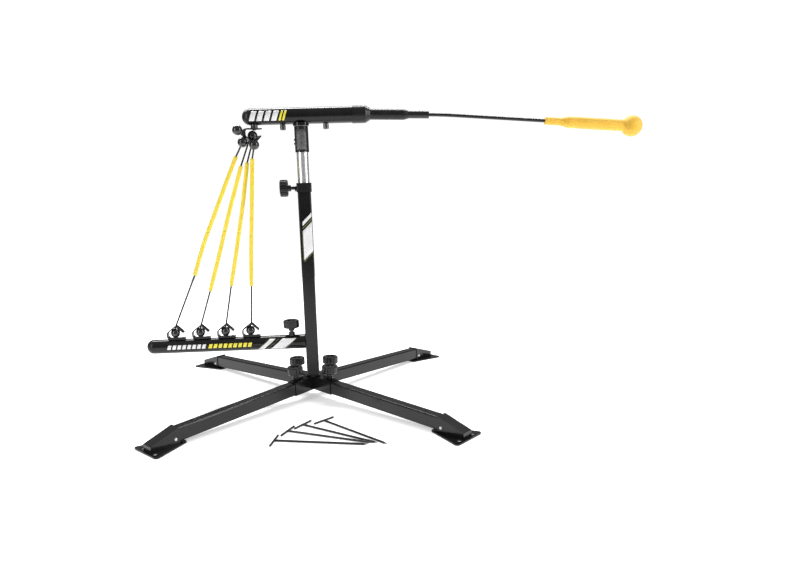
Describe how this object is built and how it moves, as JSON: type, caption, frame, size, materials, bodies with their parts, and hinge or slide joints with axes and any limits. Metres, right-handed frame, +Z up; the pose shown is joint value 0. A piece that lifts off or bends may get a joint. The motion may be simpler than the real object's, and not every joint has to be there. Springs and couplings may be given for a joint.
{
  "type": "batting tee",
  "caption": "Free-standing batting swing trainer: a foam target on a flexible turning arm, returned by elastic bands, on a height-adjustable mast with a splayed steel base.",
  "frame": {"origin": "on the floor, on the axis of the post and of the arm's pivot", "axes": "+Z up; +X along the hitting arm to the foam head; the lower arm with the bands runs to -X; -Y is the front"},
  "size_m": [1.5062, 0.9066, 0.8678],
  "materials": {
    "black_paint": "satin",
    "black_plastic": "satin",
    "knob_plastic": "satin",
    "chrome": "polished",
    "zinc": "satin",
    "bearing_steel": "polished",
    "nylon": "satin",
    "ball_rubber": "gloss",
    "shaft_black": "satin",
    "yellow_foam": "matte",
    "band_rubber": "satin",
    "stake_steel": "satin"
  },
  "bodies": {
    "base": {"post_tube": "black_paint", "hub_sockets": "black_paint", "socket_nuts": "black_paint", "post_collar": "black_plastic", "lock_nut": "black_paint", "lower_arm_stub": "black_paint", "lower_arm_tube": "black_paint", "lower_arm_cap": "black_plastic", "lower_arm_nut": "black_paint", "band_hooks": "black_paint", "hook_screws": "zinc", "lower_balls": "ball_rubber"},
    "mast": {"mast_tube": "chrome", "mast_plug": "black_plastic", "bearing_housing": "black_plastic", "housing_screws": "zinc", "lower_bearing": "bearing_steel", "upper_bearing": "bearing_steel", "thrust_washer": "nylon", "band_1": "band_rubber", "band_2": "band_rubber", "band_3": "band_rubber", "band_4": "band_rubber"},
    "arm": {"spindle": "zinc", "spindle_nut": "zinc", "arm_saddle": "black_paint", "upper_arm_tube": "black_paint", "upper_arm_cap": "black_plastic", "reducer_collar": "black_plastic", "shaft_sleeve": "black_plastic", "shaft_holder": "zinc", "flex_shaft": "shaft_black", "foam_head": "yellow_foam", "arm_bolts": "black_paint", "top_hook": "black_paint", "hook_bolt": "black_paint", "upper_balls": "ball_rubber"},
    "arm_knob": {"lower_arm_knob": "knob_plastic"},
    "lock_knob": {"height_lock_knob": "knob_plastic"},
    "front_right_leg": {"leg_tube_front_right": "black_paint", "foot_front_right": "black_paint", "foot_rivet_front_right": "zinc"},
    "front_right_knob": {"leg_knob_front_right": "knob_plastic"},
    "rear_right_leg": {"leg_tube_rear_right": "black_paint", "foot_rear_right": "black_paint", "foot_rivet_rear_right": "zinc"},
    "rear_right_knob": {"leg_knob_rear_right": "knob_plastic"},
    "rear_left_leg": {"leg_tube_rear_left": "black_paint", "foot_rear_left": "black_paint", "foot_rivet_rear_left": "zinc"},
    "rear_left_knob": {"leg_knob_rear_left": "knob_plastic"},
    "front_left_leg": {"leg_tube_front_left": "black_paint", "foot_front_left": "black_paint", "foot_rivet_front_left": "zinc"},
    "front_left_knob": {"leg_knob_front_left": "knob_plastic"},
    "stake_a": {"stake_a": "stake_steel"},
    "stake_b": {"stake_b": "stake_steel"},
    "stake_c": {"stake_c": "stake_steel"},
    "stake_d": {"stake_d": "stake_steel"}
  },
  "joints": [
    {"name": "front_right_leg_slide", "type": "slide", "parent": "base", "child": "front_right_leg", "axis": [0.7065, -0.7065, -0.0419], "range_m": [0, 0.06]},
    {"name": "front_right_knob_turn", "type": "hinge", "parent": "base", "child": "front_right_knob", "pos_m": [0.05285, -0.05285, 0.0869], "axis": [0.0296, -0.0296, 0.9991], "continuous": true},
    {"name": "rear_right_leg_slide", "type": "slide", "parent": "base", "child": "rear_right_leg", "axis": [0.7065, 0.7065, -0.0419], "range_m": [0, 0.06]},
    {"name": "rear_right_knob_turn", "type": "hinge", "parent": "base", "child": "rear_right_knob", "pos_m": [0.05285, 0.05285, 0.0869], "axis": [0.0296, 0.0296, 0.9991], "continuous": true},
    {"name": "rear_left_leg_slide", "type": "slide", "parent": "base", "child": "rear_left_leg", "axis": [-0.7065, 0.7065, -0.0419], "range_m": [0, 0.06]},
    {"name": "rear_left_knob_turn", "type": "hinge", "parent": "base", "child": "rear_left_knob", "pos_m": [-0.05285, 0.05285, 0.0869], "axis": [-0.0296, 0.0296, 0.9991], "continuous": true},
    {"name": "front_left_leg_slide", "type": "slide", "parent": "base", "child": "front_left_leg", "axis": [-0.7065, -0.7065, -0.0419], "range_m": [0, 0.06]},
    {"name": "front_left_knob_turn", "type": "hinge", "parent": "base", "child": "front_left_knob", "pos_m": [-0.05285, -0.05285, 0.0869], "axis": [-0.0296, -0.0296, 0.9991], "continuous": true},
    {"name": "arm_knob_turn", "type": "hinge", "parent": "base", "child": "arm_knob", "pos_m": [-0.061, 0, 0.221], "axis": [0, 0, 1], "continuous": true},
    {"name": "lock_knob_turn", "type": "hinge", "parent": "base", "child": "lock_knob", "pos_m": [-0.0475, 0, 0.641], "axis": [-1, 0, 0], "continuous": true},
    {"name": "mast_height", "type": "slide", "parent": "base", "child": "mast", "axis": [0, 0, 1], "range_m": [-0.085, 0.25], "deforming": ["band_1", "band_2", "band_3", "band_4"]},
    {"name": "arm_swing", "type": "hinge", "parent": "mast", "child": "arm", "pos_m": [0, 0, 0.8], "axis": [0, 0, 1], "range_deg": [-120, 120], "stiffness_Nm_per_rad": 2.5, "deforming": ["band_1", "band_2", "band_3", "band_4"]},
    {"name": "stake_a_lift", "type": "slide", "parent": "base", "child": "stake_a", "axis": [0, 0, 1], "range_m": [0, 0.3]},
    {"name": "stake_b_lift", "type": "slide", "parent": "base", "child": "stake_b", "axis": [0, 0, 1], "range_m": [0, 0.3]},
    {"name": "stake_c_lift", "type": "slide", "parent": "base", "child": "stake_c", "axis": [0, 0, 1], "range_m": [0, 0.3]},
    {"name": "stake_d_lift", "type": "slide", "parent": "base", "child": "stake_d", "axis": [0, 0, 1], "range_m": [0, 0.3]}
  ]
}
